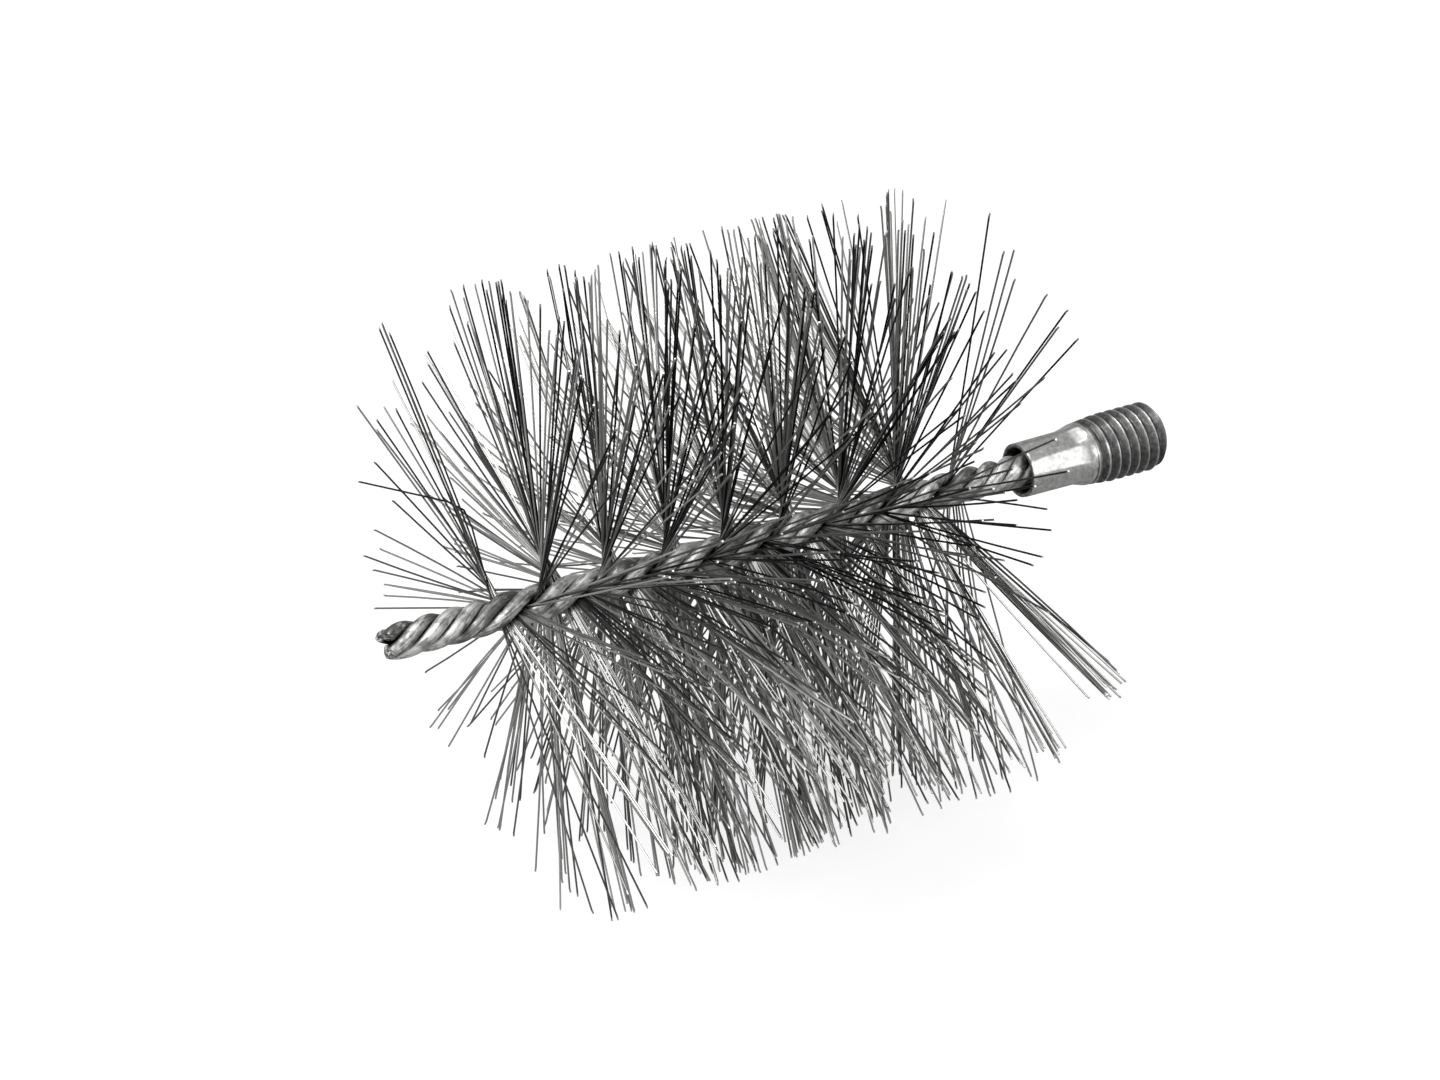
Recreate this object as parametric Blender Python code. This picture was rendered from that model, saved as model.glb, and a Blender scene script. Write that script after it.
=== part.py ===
"""Wire tube brush: a stem of four twisted wires grips a single spiral of steel bristles,
and its end is crimped into a ferrule with a threaded shank.

Metres, +Z up. The axis lies along X with the thread towards +X, and the brush lies on its
bristle tips on z = 0. The origin is on that floor, under the middle of the length.
Lengths along the axis are counted from the sheared tip of the stem, at -X.
"""

import math
import random

import bmesh
import bpy
import numpy as np
from mathutils import Matrix, Vector

MM = 0.001

# The whole brush, and how far the tips that carry it are flattened on the floor
BRUSH_DIAMETER = 108.0 * MM
FLOOR_CUT = 0.5 * MM

# The four stem wires, their left-hand twist, and the bare stubs on both sides of the fill
TIP_STUB_LENGTH = 20.6 * MM
NECK_STUB_LENGTH = 12.1 * MM
STEM_WIRE_DIAMETER = 2.2 * MM
WIRE_GAP = 0.22 * MM
TIP_LEAD = 20.5 * MM
TIGHT_LEAD = 16.5 * MM
FILL_LEAD = 23.1 * MM
LEAD_CHANGE_LENGTH = 3.0 * MM
TIP_STAGGER = 0.35 * MM
SHEAR_ANGLE = math.radians(24.0)
RINGS_PER_TURN = 12
WIRE_SIDES = 8
# Which end of the strip's width, and which side of the strip, each wire lies at
WIRE_SIGNS = ((1, 1), (-1, 1), (-1, -1), (1, -1))

# The spiral of bristles and the packed strip at its middle
FILL_TURNS = 4
TUFTS_PER_TURN = 4
TUFT_GAP = 0.3 * MM
STRIP_WIDTH = 5.8 * MM
STRIP_THICKNESS = 0.6 * MM
STRIP_GAP = 0.3 * MM
BRISTLE_WIRE = 0.35 * MM
STRANDS_PER_SIDE = 14
STRAND_INSET = 0.3 * MM
ROOT_WIDTH = 0.3 * MM
ROOT_HEIGHT = 1.0 * MM
TRIM_SPREAD = 4.0 * MM
LEAN = math.radians(11.0)
END_LEAN = math.radians(4.0)
END_FALL_OFF = 5
SWIRL = math.radians(8.0)
DRAWS_AVERAGED = 3
DRAWS_PER_STRAND = 200
STRAND_CLEARANCE = 0.1 * MM
NEIGHBOUR_CLEARANCE = 0.03 * MM
SEED = 11
# The angle round the axis, from +Y towards +Z, at which the strip stands where the fill starts
START_ANGLE = math.radians(52.0)

# The crimped ferrule and its shank
COLLAR_LENGTH = 13.5 * MM
SHANK_LENGTH = 15.8 * MM
COLLAR_STRAIGHT = 10.0 * MM
MOUTH_DIAMETER = 10.0 * MM
WAIST_DIAMETER = 10.4 * MM
NECK_DIAMETER = 11.5 * MM
SHANK_DIAMETER = 12.7 * MM
LEAD_IN_LENGTH = 5.5 * MM
END_CHAMFER = 1.2 * MM
EDGE_BREAK = 0.25 * MM
MOUTH_CHAMFER = 1.0 * MM
BORE_CLEARANCE = 0.22 * MM
BORE_DEPTH = 12.6 * MM
BORE_END_GAP = 0.5 * MM
DRILL_POINT_ANGLE = math.radians(59.0)
FLARE_POINTS = 5
FERRULE_SIDES = 48
CRIMP_FLATS = 8
CRIMP_LENGTH = 13.0 * MM
CRIMP_DEPTH = 0.22 * MM
CRIMP_STEP_RADIUS = 0.8 * MM
CRIMP_STEP_SEGMENTS = 2
CRIMP_TURN = math.radians(152.0)
CUT_OVERRUN = 2.0 * MM

MERGE_DISTANCE = 0.0025 * MM
TABLE_STEPS = 3000
SETTLING_ROUNDS = 30
SHARP_EDGE = math.radians(35.0)

# Worked out from the sizes above
BRUSH_RADIUS = BRUSH_DIAMETER / 2
AXIS_HEIGHT = BRUSH_RADIUS - FLOOR_CUT
FILL_START = TIP_STUB_LENGTH
FILL_LENGTH = FILL_TURNS * FILL_LEAD
FILL_END = FILL_START + FILL_LENGTH
MOUTH_STATION = FILL_END + NECK_STUB_LENGTH
STEM_END = MOUTH_STATION + BORE_DEPTH - BORE_END_GAP
FERRULE_LENGTH = COLLAR_LENGTH + SHANK_LENGTH
TOTAL_LENGTH = MOUTH_STATION + FERRULE_LENGTH
TUFT_COUNT = FILL_TURNS * TUFTS_PER_TURN
TUFT_PITCH = FILL_LENGTH / TUFT_COUNT
# A three-sided strand has the same section area as the round wire that it stands for
STRAND_FACE = BRISTLE_WIRE * math.sqrt(math.pi / math.sqrt(3.0))
STRAND_RADIUS = STRAND_FACE / math.sqrt(3.0)
# Its corners, along the axis and off the strip, as shares of that radius
CORNER_SHARES = ((-math.sqrt(0.75), 0.5), (math.sqrt(0.75), 0.5), (0.0, -1.0))
ROOT_RADIUS = STRIP_WIDTH / 2 + ROOT_HEIGHT

WIRE_COLOUR = (0.34, 0.34, 0.33)
BRISTLE_COLOUR = (0.26, 0.26, 0.26)
FERRULE_COLOUR = (0.56, 0.56, 0.55)


def clear_scene():
    for old in list(bpy.data.objects):
        bpy.data.objects.remove(old, do_unlink=True)


def steel(name, colour, roughness):
    """A bare metal finish for one piece."""
    material = bpy.data.materials.new(name)
    material.use_nodes = True
    shader = material.node_tree.nodes["Principled BSDF"]
    shader.inputs["Base Color"].default_value = (*colour, 1.0)
    shader.inputs["Metallic"].default_value = 1.0
    shader.inputs["Roughness"].default_value = roughness
    return material


def place(name, bm, material=None):
    """Turns a bmesh into a named object that hangs on the brush's axis."""
    mesh = bpy.data.meshes.new(name)
    bmesh.ops.recalc_face_normals(bm, faces=bm.faces)
    bm.to_mesh(mesh)
    bm.free()
    mesh.shade_smooth()
    mesh.set_sharp_from_angle(angle=SHARP_EDGE)
    piece = bpy.data.objects.new(name, mesh)
    bpy.context.scene.collection.objects.link(piece)
    piece.parent = AXIS
    if material:
        mesh.materials.append(material)
    else:
        piece.hide_render = True
        piece.display_type = "WIRE"
    return piece


def loft(bm, rings):
    """Joins rings of points into one closed solid with flat ends."""
    loops = [[bm.verts.new(point) for point in ring] for ring in rings]
    skin(bm, loops)
    bm.faces.new(reversed(loops[0]))
    bm.faces.new(loops[-1])


def skin(bm, loops):
    for near, far in zip(loops, loops[1:]):
        for i in range(len(near)):
            j = (i + 1) % len(near)
            bm.faces.new((near[i], near[j], far[j], far[i]))


def smooth_step(share):
    share = min(max(share, 0.0), 1.0)
    return share * share * (3 - 2 * share)


def fill_share(x):
    """1 where the bristles hold the wires apart, 0 on the bare ends of the stem."""
    opening = smooth_step((x - FILL_START) / LEAD_CHANGE_LENGTH + 1)
    closing = smooth_step((FILL_END - x) / LEAD_CHANGE_LENGTH + 1)
    return opening * closing


def lead_at(x):
    """The stub's twist slackens towards its free tip, and the fill has a longer lead."""
    bare = TIP_LEAD + (TIGHT_LEAD - TIP_LEAD) * smooth_step(x / FILL_START)
    return bare + (FILL_LEAD - bare) * fill_share(x)


def twist_table():
    """Stations along the stem, and how far the strip has turned at each of them."""
    stations = np.linspace(0.0, STEM_END, TABLE_STEPS)
    middles = (stations[1:] + stations[:-1]) / 2
    leads = [lead_at(x) for x in middles]
    turned = np.concatenate(([0.0], np.cumsum(np.diff(stations) * 2 * np.pi / leads)))
    return stations, turned


STATIONS, TURNED = twist_table()


def strip_angle(x):
    """The strip turns left-handed: its angle falls as x grows."""
    start = np.interp(FILL_START, STATIONS, TURNED)
    return START_ANGLE + start - np.interp(x, STATIONS, TURNED)


def across(x):
    """Unit vectors along the strip's width and square to it, at one station."""
    angle = strip_angle(x)
    along_strip = Vector((0.0, math.cos(angle), math.sin(angle)))
    off_strip = Vector((0.0, -math.sin(angle), math.cos(angle)))
    return along_strip, off_strip


def wire_offsets(lead, strip_thickness):
    """Half the spacing of a pair's two wires, and half that of the two pairs.

    A wire that winds at an angle has an oval section across the axis, so each offset depends
    on the winding radius, which the offsets set: a few rounds settle them.
    """
    radius = STEM_WIRE_DIAMETER / 2
    in_pair = radius
    pairs = radius + strip_thickness / 2
    strip_gap = STRIP_GAP if strip_thickness else WIRE_GAP / 2
    for _ in range(SETTLING_ROUNDS):
        winding = math.hypot(in_pair, pairs)
        long_half = radius * math.hypot(1.0, 2 * math.pi * winding / lead)
        width = math.hypot(long_half * pairs, radius * in_pair) / winding
        height = math.hypot(long_half * in_pair, radius * pairs) / winding
        in_pair = width + WIRE_GAP / 2
        pairs = height + strip_gap + strip_thickness / 2
    return in_pair, pairs


BARE_OFFSETS = wire_offsets(TIGHT_LEAD, 0.0)
FILL_OFFSETS = wire_offsets(FILL_LEAD, STRIP_THICKNESS)
BARE_RADIUS = math.hypot(*BARE_OFFSETS) + STEM_WIRE_DIAMETER / 2


def wire_centre(x, corner):
    share = fill_share(x)
    in_pair, pairs = (
        bare + (full - bare) * share for bare, full in zip(BARE_OFFSETS, FILL_OFFSETS)
    )
    along_strip, off_strip = across(x)
    centre = along_strip * in_pair * corner[0] + off_strip * pairs * corner[1]
    centre.x = x
    return centre


def make_stem_wire(number, corner):
    """One of the four stem wires: a helix that opens where it grips the bristles."""
    radius = STEM_WIRE_DIAMETER / 2
    stand_back = TIP_STAGGER * (number - 1)
    start = stand_back + radius * math.tan(SHEAR_ANGLE)
    count = round(TURNED[-1] / (2 * math.pi) * RINGS_PER_TURN)
    shared = np.interp(np.linspace(0.0, TURNED[-1], count + 1), TURNED, STATIONS)
    spacing = shared[1] - shared[0]
    centres = [wire_centre(start, corner)]
    centres += [wire_centre(x, corner) for x in shared if x > start + spacing / 2]
    rings = []
    for i, centre in enumerate(centres):
        after = centres[min(i + 1, len(centres) - 1)]
        before = centres[max(i - 1, 0)]
        heading = (after - before).normalized()
        outward = Vector((0.0, centre.y, centre.z))
        outward = (outward - heading * outward.dot(heading)).normalized()
        sideways = heading.cross(outward)
        ring = []
        for side in range(WIRE_SIDES):
            angle = 2 * math.pi * (side + 0.5) / WIRE_SIDES
            offset = outward * math.cos(angle) + sideways * math.sin(angle)
            ring.append(centre + offset * radius)
        rings.append(ring)
    shear_end(rings[0], centres[0] - centres[1], number, stand_back)
    bm = bmesh.new()
    loft(bm, rings)
    name = f"stem_wire_{number}"
    return place(name, bm, steel(f"{name}_drawn_steel", WIRE_COLOUR, 0.36))


def shear_end(ring, heading, number, stand_back):
    """Slants the tip as cutters leave it, with its foremost point stand_back from the end."""
    heading = heading.normalized()
    middle = sum(ring, Vector()) / len(ring)
    slant = (ring[number % WIRE_SIDES] - middle).normalized()
    for point in ring:
        point += heading * (point - middle).dot(slant) * math.tan(SHEAR_ANGLE)
    along = (stand_back - min(point.x for point in ring)) / heading.x
    for point in ring:
        point += heading * along


def strip_point(x, side, face):
    """A point on one long edge of the packed strip."""
    along_strip, off_strip = across(x)
    point = along_strip * side * STRIP_WIDTH / 2 + off_strip * face * STRIP_THICKNESS / 2
    point.x = x
    return point


def strand_gaps(start, end, starts, ends):
    """The least distance from one straight strand to each of the others."""
    ours = end - start
    theirs = ends - starts
    between = start - starts
    a = ours @ ours
    e = np.einsum("ij,ij->i", theirs, theirs)
    b = theirs @ ours
    c = between @ ours
    f = np.einsum("ij,ij->i", theirs, between)
    spread = np.maximum(a * e - b * b, a * e * 1e-9)
    s = np.clip((b * f - c * e) / spread, 0.0, 1.0)
    t = np.clip((b * s + f) / e, 0.0, 1.0)
    s = np.clip((b * t - c) / a, 0.0, 1.0)
    apart = between + np.outer(s, ours) - theirs * t[:, None]
    return np.linalg.norm(apart, axis=1)


def reach_of(direction, draw):
    """How far from the axis a strand's tip stands; those that carry the brush are not trimmed."""
    below = math.cos(direction) * BRUSH_RADIUS > AXIS_HEIGHT
    return BRUSH_RADIUS if below else BRUSH_RADIUS - TRIM_SPREAD * max(draw, 0.0)


def mostly_small(rng):
    """A draw from -1 to 1 that is seldom far from 0."""
    return sum(rng.uniform(-1.0, 1.0) for _ in range(DRAWS_AVERAGED)) / DRAWS_AVERAGED


def draw_strand(x, side, rng):
    """One strand's root and tip: it leaves the strip with a little lean and swirl."""
    along_strip, off_strip = across(x)
    outward = along_strip * side
    root = outward * ROOT_RADIUS
    root.x = x
    from_middle = 2 * (x - FILL_START) / FILL_LENGTH - 1
    # Strands lean less beyond the two ends of the fill than back over it
    most_out = LEAN + (END_LEAN - LEAN) * abs(from_middle) ** END_FALL_OFF
    share = mostly_small(rng)
    lean = math.copysign(share, share * from_middle) * (most_out if share > 0 else LEAN)
    swirl = SWIRL * mostly_small(rng)
    trim = rng.uniform(-1.0, 1.0)
    heading = outward + off_strip * math.tan(swirl) + Vector((math.tan(lean), 0.0, 0.0))
    from_down = math.atan2(heading.y, -heading.z)
    run = (reach_of(from_down, trim) - ROOT_RADIUS) * math.cos(swirl)
    return root, root + heading * run


def lay_strands(rng):
    """Every strand's root and tip, tuft by tuft, with none crossing another.

    Neighbours of one tuft stand alike, so they clear each other when a face's width apart.
    """
    apart = 2 * STRAND_RADIUS + STRAND_CLEARANCE
    tufts = []
    needed = np.empty(0)
    roots = np.empty((0, 3))
    tips = np.empty((0, 3))
    for tuft in range(TUFT_COUNT):
        first = FILL_START + tuft * TUFT_PITCH + TUFT_GAP / 2 + STRAND_INSET
        last = FILL_START + (tuft + 1) * TUFT_PITCH - TUFT_GAP / 2 - STRAND_INSET
        laid = []
        needed[:] = apart
        for number in range(STRANDS_PER_SIDE):
            x = first + (last - first) * number / (STRANDS_PER_SIDE - 1)
            for side in (1, -1):
                best = None
                for _ in range(DRAWS_PER_STRAND):
                    root, tip = draw_strand(x, side, rng)
                    gaps = strand_gaps(np.array(root), np.array(tip), roots, tips)
                    spare = (gaps - needed).min(initial=BRUSH_RADIUS)
                    if best is None or spare > best[0]:
                        best = (spare, root, tip)
                    if spare > 0:
                        break
                _, root, tip = best
                laid.append((x, side, root, tip))
                roots = np.vstack((roots, root))
                tips = np.vstack((tips, tip))
                needed = np.append(needed, STRAND_FACE + NEIGHBOUR_CLEARANCE)
        tufts.append(laid)
    return tufts


def strand_loops(bm, base, x, root, tip):
    """A strand's rings: its base on the strip's edge, one at the root and one at the tip."""
    off_strip = across(x)[1]
    heading = (tip - root).normalized()
    lengthwise = Vector((1.0, 0.0, 0.0))
    lengthwise = (lengthwise - heading * heading.x).normalized()
    sideways = heading.cross(lengthwise)
    if sideways.dot(off_strip) < 0:
        sideways = -sideways
    near = []
    far = []
    for along, off in CORNER_SHARES:
        near.append(root + (Vector((along, 0.0, 0.0)) + off_strip * off) * STRAND_RADIUS)
        end = tip + (lengthwise * along + sideways * off) * STRAND_RADIUS
        below = -AXIS_HEIGHT - end.z
        if below > 0:
            end += heading * (below / heading.z)
        far.append(end)
    return [base] + [[bm.verts.new(point) for point in ring] for ring in (near, far)]


def edge_of_strip(bm, side, start, end, laid):
    """One long narrow side of the strip, with a strand on each of its three-cornered bases.

    It returns the corners along the side's upper and lower edge, for the broad faces.
    """
    strands = [strand for strand in laid if strand[1] == side]
    upper = [bm.verts.new(strip_point(start, side, 1))]
    lower = [bm.verts.new(strip_point(start, side, -1))]
    for x, _, root, tip in strands:
        left = bm.verts.new(strip_point(x - ROOT_WIDTH / 2, side, 1))
        right = bm.verts.new(strip_point(x + ROOT_WIDTH / 2, side, 1))
        foot = bm.verts.new(strip_point(x, side, -1))
        bm.faces.new((upper[-1], left, foot, lower[-1]))
        loops = strand_loops(bm, [left, right, foot], x, root, tip)
        skin(bm, loops)
        bm.faces.new(loops[-1])
        upper += [left, right]
        lower.append(foot)
    upper.append(bm.verts.new(strip_point(end, side, 1)))
    lower.append(bm.verts.new(strip_point(end, side, -1)))
    bm.faces.new((upper[-2], upper[-1], lower[-1], lower[-2]))
    return upper, lower


def make_tuft(number, laid):
    """A quarter turn of the fill: its slice of the packed strip with its strands fused to it."""
    name = f"bristle_tuft_{number:02d}"
    start = FILL_START + (number - 1) * TUFT_PITCH + TUFT_GAP / 2
    end = start + TUFT_PITCH - TUFT_GAP
    bm = bmesh.new()
    sides = [edge_of_strip(bm, side, start, end, laid) for side in (1, -1)]
    for ours, theirs in zip(*sides):
        for i in range(len(ours) - 1):
            bm.faces.new((ours[i], ours[i + 1], theirs[i + 1], theirs[i]))
    (upper, lower), (far_upper, far_lower) = sides
    for i in (0, -1):
        bm.faces.new((upper[i], far_upper[i], far_lower[i], lower[i]))
    return place(name, bm, steel(f"{name}_spring_steel", BRISTLE_COLOUR, 0.3))


def ferrule_profile():
    """Half the ferrule's section as (distance from the mouth, radius), bore first."""
    bore = BARE_RADIUS + BORE_CLEARANCE
    mouth = MOUTH_DIAMETER / 2
    waist = WAIST_DIAMETER / 2
    neck = NECK_DIAMETER / 2
    shank = SHANK_DIAMETER / 2
    points = [
        (BORE_DEPTH + bore / math.tan(DRILL_POINT_ANGLE), 0.0),
        (BORE_DEPTH, bore),
        (MOUTH_CHAMFER, bore),
        (0.0, bore + MOUTH_CHAMFER),
        (0.0, mouth - EDGE_BREAK),
        (EDGE_BREAK, mouth),
    ]
    for i in range(FLARE_POINTS + 1):
        share = i / FLARE_POINTS
        x = COLLAR_STRAIGHT + (COLLAR_LENGTH - COLLAR_STRAIGHT) * share
        points.append((x, waist + (neck - waist) * smooth_step(share)))
    points += [
        (COLLAR_LENGTH + LEAD_IN_LENGTH, shank),
        (FERRULE_LENGTH - END_CHAMFER, shank),
        (FERRULE_LENGTH, shank - END_CHAMFER),
        (FERRULE_LENGTH, 0.0),
    ]
    return points


def make_ferrule():
    """Turned, bored and crimped: eight flats pressed into the collar grip the stem."""
    bm = bmesh.new()
    profile = [
        bm.verts.new((MOUTH_STATION + x, radius, 0.0)) for x, radius in ferrule_profile()
    ]
    edges = [bm.edges.new(pair) for pair in zip(profile, profile[1:])]
    bmesh.ops.spin(
        bm,
        geom=profile + edges,
        cent=(0.0, 0.0, 0.0),
        axis=(1.0, 0.0, 0.0),
        angle=2 * math.pi,
        steps=FERRULE_SIDES,
        use_merge=True,
    )
    bmesh.ops.remove_doubles(bm, verts=bm.verts, dist=MERGE_DISTANCE)
    ferrule = place("threaded_ferrule", bm, steel("ferrule_plated_steel", FERRULE_COLOUR, 0.2))
    for flat in range(CRIMP_FLATS):
        cut = ferrule.modifiers.new(f"crimp_flat_{flat + 1}", "BOOLEAN")
        cut.operation = "DIFFERENCE"
        cut.solver = "EXACT"
        cut.object = make_crimp_die(flat)
    return ferrule


def make_crimp_die(flat):
    """One jaw of the crimping tool: its face follows the collar's taper, CRIMP_DEPTH below it."""
    mouth = MOUTH_DIAMETER / 2
    taper = (WAIST_DIAMETER / 2 - mouth) / COLLAR_STRAIGHT
    width = NECK_DIAMETER * math.tan(math.pi / CRIMP_FLATS)
    step = CRIMP_STEP_RADIUS
    top = NECK_DIAMETER / 2 + CUT_OVERRUN

    def face_height(x):
        return mouth + taper * x - CRIMP_DEPTH

    outline = [(-CUT_OVERRUN, top), (-CUT_OVERRUN, face_height(-CUT_OVERRUN))]
    for i in range(CRIMP_STEP_SEGMENTS + 1):
        angle = math.pi / 2 * i / CRIMP_STEP_SEGMENTS
        x = CRIMP_LENGTH - step * (1 - math.sin(angle))
        rise = step * (1 - math.cos(angle))
        outline.append((x, face_height(CRIMP_LENGTH - step) + rise))
    outline.append((CRIMP_LENGTH, top))
    bm = bmesh.new()
    sides = [
        [Vector((MOUTH_STATION + x, z, y)) for x, z in outline] for y in (-width / 2, width / 2)
    ]
    loft(bm, sides)
    turn = CRIMP_TURN + 2 * math.pi * flat / CRIMP_FLATS
    bm.transform(Matrix.Rotation(turn, 4, "X"))
    return place(f"crimp_die_{flat + 1}", bm)


clear_scene()
AXIS = bpy.data.objects.new("brush_axis", None)
AXIS.location = (-TOTAL_LENGTH / 2, 0.0, AXIS_HEIGHT)
bpy.context.scene.collection.objects.link(AXIS)
for wire_number, wire_corner in enumerate(WIRE_SIGNS, 1):
    make_stem_wire(wire_number, wire_corner)
for tuft_number, tuft_strands in enumerate(lay_strands(random.Random(SEED)), 1):
    make_tuft(tuft_number, tuft_strands)
make_ferrule()
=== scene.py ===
"""Wire tube brush, dressed: a stem of four twisted steel wires, a spiral of spring-steel
bristles gripped between them, and a zinc-plated ferrule with a threaded shank.

Metres. Stations are counted along the axis from the sheared tip of the stem. Angles round the
axis run from +Y towards +Z.
"""

import math
import random

import bmesh
import bpy
import numpy as np
from mathutils import Matrix, Vector


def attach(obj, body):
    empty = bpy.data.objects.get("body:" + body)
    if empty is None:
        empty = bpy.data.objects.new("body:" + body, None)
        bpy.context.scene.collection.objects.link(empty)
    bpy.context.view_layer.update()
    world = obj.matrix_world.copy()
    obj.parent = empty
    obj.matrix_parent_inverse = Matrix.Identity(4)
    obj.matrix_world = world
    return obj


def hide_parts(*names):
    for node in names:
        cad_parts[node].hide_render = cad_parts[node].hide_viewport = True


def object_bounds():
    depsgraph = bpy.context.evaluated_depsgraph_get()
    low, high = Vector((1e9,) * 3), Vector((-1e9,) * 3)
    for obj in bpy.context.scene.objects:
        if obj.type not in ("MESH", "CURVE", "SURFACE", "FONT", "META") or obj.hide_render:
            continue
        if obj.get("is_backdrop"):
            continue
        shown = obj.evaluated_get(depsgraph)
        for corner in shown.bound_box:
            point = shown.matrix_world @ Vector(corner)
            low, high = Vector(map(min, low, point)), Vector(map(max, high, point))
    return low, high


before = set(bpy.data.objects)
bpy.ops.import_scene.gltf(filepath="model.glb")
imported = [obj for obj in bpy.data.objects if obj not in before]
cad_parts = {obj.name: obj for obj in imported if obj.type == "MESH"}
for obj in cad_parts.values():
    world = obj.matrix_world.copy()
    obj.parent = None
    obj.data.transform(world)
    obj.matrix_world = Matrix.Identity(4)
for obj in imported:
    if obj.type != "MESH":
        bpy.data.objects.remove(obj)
CAD_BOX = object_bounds()

MM = 0.001

# The kinds of node that are used most
MATH = "ShaderNodeMath"
VECTOR_MATH = "ShaderNodeVectorMath"
STORE = "GeometryNodeStoreNamedAttribute"

# The brush and where its axis lies
TOTAL_LENGTH = 154.4 * MM
BRUSH_RADIUS = 54.0 * MM
AXIS_HEIGHT = 53.5 * MM

# The edges that stay sharp in a smooth piece, in degrees
CREASE_ANGLE = 40.0

# The stem: its wires, and their leads at the tip, before the ferrule and round the bristles
STEM_WIRE = 2.36 * MM
WIRE_TOUCH = 0.02 * MM
TIP_LEAD = 20.5 * MM
TIGHT_LEAD = 16.5 * MM
FILL_LEAD = 23.1 * MM
LEAD_CHANGE = 3.0 * MM
STEM_IN_BORE = 12.0 * MM
WIRE_SIDES = 20
RING_SPACING = 0.35 * MM
WIRE_SIGNS = ((1, 1), (-1, 1), (-1, -1), (1, -1))
WIRE_TONES = (-0.08, 0.1, 0.34, 0.22)
OFFSET_ROUNDS = 30
FIRST_STATION = -2.0 * MM
STATION_COUNT = 4000

# The stem's sheared tips: where each starts, and the side and slant of its cut in degrees
TIP_STAGGERS = (0.9 * MM, 1.0 * MM, 1.2 * MM, 0.7 * MM)
SHEAR_SIDES = (230.0, 190.0, 185.0, 60.0)
SHEAR_ANGLES = (24.0, 12.0, 24.0, 18.0)
SHEAR_REACH = 2.6 * MM
PINCH_REACH = 0.5 * MM
PINCH = 0.16
TIP_CLEARANCE = 0.02 * MM

# Painted shade between the stem's wires: all dark inside the first radius, none outside the second
GROOVE_RADII = (1.75 * MM, 2.35 * MM)

# The fill
FILL_START = 20.6 * MM
FILL_LENGTH = 92.4 * MM
FILL_END = FILL_START + FILL_LENGTH
START_ANGLE = math.radians(52.0)
TUFT_COUNT = 16
PACKED_THICKNESS = 0.5 * MM
GRIP_RADIUS = 2.9 * MM
TIP_LIMIT = 53.9 * MM
TRIM = 4.0 * MM
LONG_EDGE = 30.0 * MM
MERGE = 0.001 * MM
SEED = 7
SEED_STEP = 100

# One bristle: the shares of its length where its points lie, and the bow and burr of its wire
BRISTLE_WIRE = 0.35 * MM
STRAND_SHARES = (0.0, 0.053, 0.32, 0.4, 0.5, 0.75, 0.988, 1.0)
STRAND_SIDES = 8
BOW = 0.4 * MM
BURR = 0.1 * MM
BURR_FROM = 0.995

# Where the first and the last turn are thinner, and by what share
SPARSE_TO = 28.0 * MM
SPARSE_FROM = 106.5 * MM
SPARSE_FADE = 3.0 * MM
FIRST_TURN_LOSS = 0.4
LAST_TURN_LOSS_ABOVE = 0.55
LAST_TURN_LOSS_BELOW = 0.3

# How many loose bristles lie beside a packed one: below the axis in the middle, towards the tip
# and towards the ferrule, and above it in the dense stretch and elsewhere
BELOW = -0.2
DENSE_REACH = 27.0 * MM
DENSE_ABOVE = (0.3 * DENSE_REACH, 1.05 * DENSE_REACH)
LOOSE_MIDDLE, LOOSE_TIPWARDS, LOOSE_INWARDS = 3.7, 1.6, 0.1
LOOSE_DENSE, LOOSE_ABOVE = 2.8, 1.5
LOOSE_PLACES = (0.5, 0.25, 0.75, 0.38)
LOOSE_LEAN = 0.04

# The loose bundle on the near side of the last turn
LAST_TURN = 101.5 * MM
BUNDLE_ANGLE = 196.0
BUNDLE_HALF = 12.0
BUNDLE_SWIRL = 0.3
BUNDLE_GATHER = 0.7
BUNDLE_LEAN = 0.1
BUNDLE_SPREAD = 0.03

# Patches of the fill that use has combed over or thinned out: the first and last station, the
# first and last angle in degrees, the share of bristles left, and the lean added
WORN_PATCHES = (
    (93.0 * MM, 97.0 * MM, 138.0, 163.0, 0.85, -0.11),
    (93.0 * MM, 97.0 * MM, 168.0, 184.0, 0.35, -0.03),
    (91.0 * MM, 94.5 * MM, 184.0, 204.0, 0.35, -0.08),
    (82.0 * MM, 101.5 * MM, 204.0, 262.0, 0.75, -0.02),
    (96.5 * MM, 101.5 * MM, 68.0, 94.0, 1.0, 0.12),
    (96.5 * MM, 101.5 * MM, 94.0, 125.0, 0.75, 0.03),
    (105.9 * MM, 106.1 * MM, 160.0, 162.0, 1.0, -0.2),
    (101.5 * MM, 113.0 * MM, 134.0, 184.0, 0.08, 0.0),
    (101.5 * MM, 113.0 * MM, 184.0, 208.0, 0.75, 0.0),
    (109.0 * MM, 113.0 * MM, 50.0, 80.0, 0.1, 0.0),
    (108.0 * MM, 113.0 * MM, 80.0, 136.0, 0.4, 0.05),
)
COMBING = (0.4, 1.6)

# Strays that lie across the mouth of the ferrule: their roots, angles in degrees and leans
STRAYS = ((107.2 * MM, 145.0, -0.135), (106.7 * MM, 151.0, -0.113))
STRAY_REACH = 53.0 * MM
STRAY_TUFT = 15

# The one bristle that has been bent over: its root, its slope and where the bend starts
BENT_TUFT = 1
BENT_STATION = 21.0 * MM
BENT_OUTWARD = (0.0, 0.735, 0.678)
BENT_REACH = 48.3 * MM
BENT_LEAN = 0.116
BEND_START = 0.362
BEND_SOFTNESS = 0.12
BENT_BY = (-7.9 * MM, 11.9 * MM, -28.2 * MM)

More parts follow.
